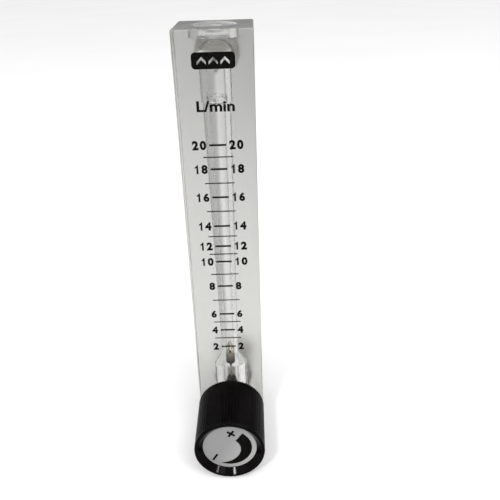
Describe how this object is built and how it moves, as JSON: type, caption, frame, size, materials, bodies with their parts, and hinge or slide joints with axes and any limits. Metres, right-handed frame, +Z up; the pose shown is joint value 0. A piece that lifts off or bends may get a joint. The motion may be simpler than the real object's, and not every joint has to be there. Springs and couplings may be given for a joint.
{
  "type": "oxygen flowmeter",
  "caption": "Clear block gas flowmeter with a tapered bore, a rising float, a printed scale, a needle valve with a serrated knob, and rear hose fittings.",
  "frame": {"origin": "centre of the block's bottom face", "axes": "+Z up along the tapered bore, -Y towards the knob and the scale, +X to the right as seen from the front"},
  "size_m": [0.0256, 0.0835, 0.1545],
  "materials": {
    "acrylic": "clear polished acrylic",
    "clear_plastic": "clear turned acrylic",
    "seal_rubber": "soft matt rubber",
    "plated_metal": "nickel plate on turned brass",
    "steel": "fine turned stainless steel",
    "knob_plastic": "black moulded plastic",
    "disc_aluminium": "satin aluminium"
  },
  "bodies": {
    "block": {"body_block": "acrylic", "top_plug": "clear_plastic", "top_plug_seal": "seal_rubber", "bottom_plug": "clear_plastic", "bottom_plug_seal": "seal_rubber", "lower_float_stop": "steel", "upper_float_stop": "clear_plastic", "valve_body": "plated_metal", "valve_body_seal": "seal_rubber", "outlet_fitting": "plated_metal", "outlet_seal": "seal_rubber", "outlet_washer": "plated_metal", "outlet_nut": "plated_metal", "inlet_fitting": "plated_metal", "inlet_seal": "seal_rubber", "inlet_washer": "plated_metal", "inlet_nut": "plated_metal"},
    "float": {"float": "steel"},
    "spindle_seal": {"spindle_seal": "seal_rubber"},
    "knob_and_spindle": {"spindle": "steel", "knob": "knob_plastic", "knob_face_disc": "disc_aluminium", "knob_set_screw": "steel"}
  },
  "joints": [
    {"name": "float_rise", "type": "slide", "parent": "block", "child": "float", "axis": [0, 0, 1], "range_m": [0, 0.0943]},
    {"name": "stem_rise", "type": "slide", "parent": "block", "child": "spindle_seal", "axis": [0, -1, 0], "range_m": [0, 0.003]},
    {"name": "knob_turn", "type": "hinge", "parent": "spindle_seal", "child": "knob_and_spindle", "pos_m": [0, -0.0125, 0.0135], "axis": [0, -1, 0], "range_deg": [0, 1440]}
  ],
  "couplings": [
    {"joint": "stem_rise", "follows": "knob_turn", "m_per_rad": 0.00011936}
  ]
}
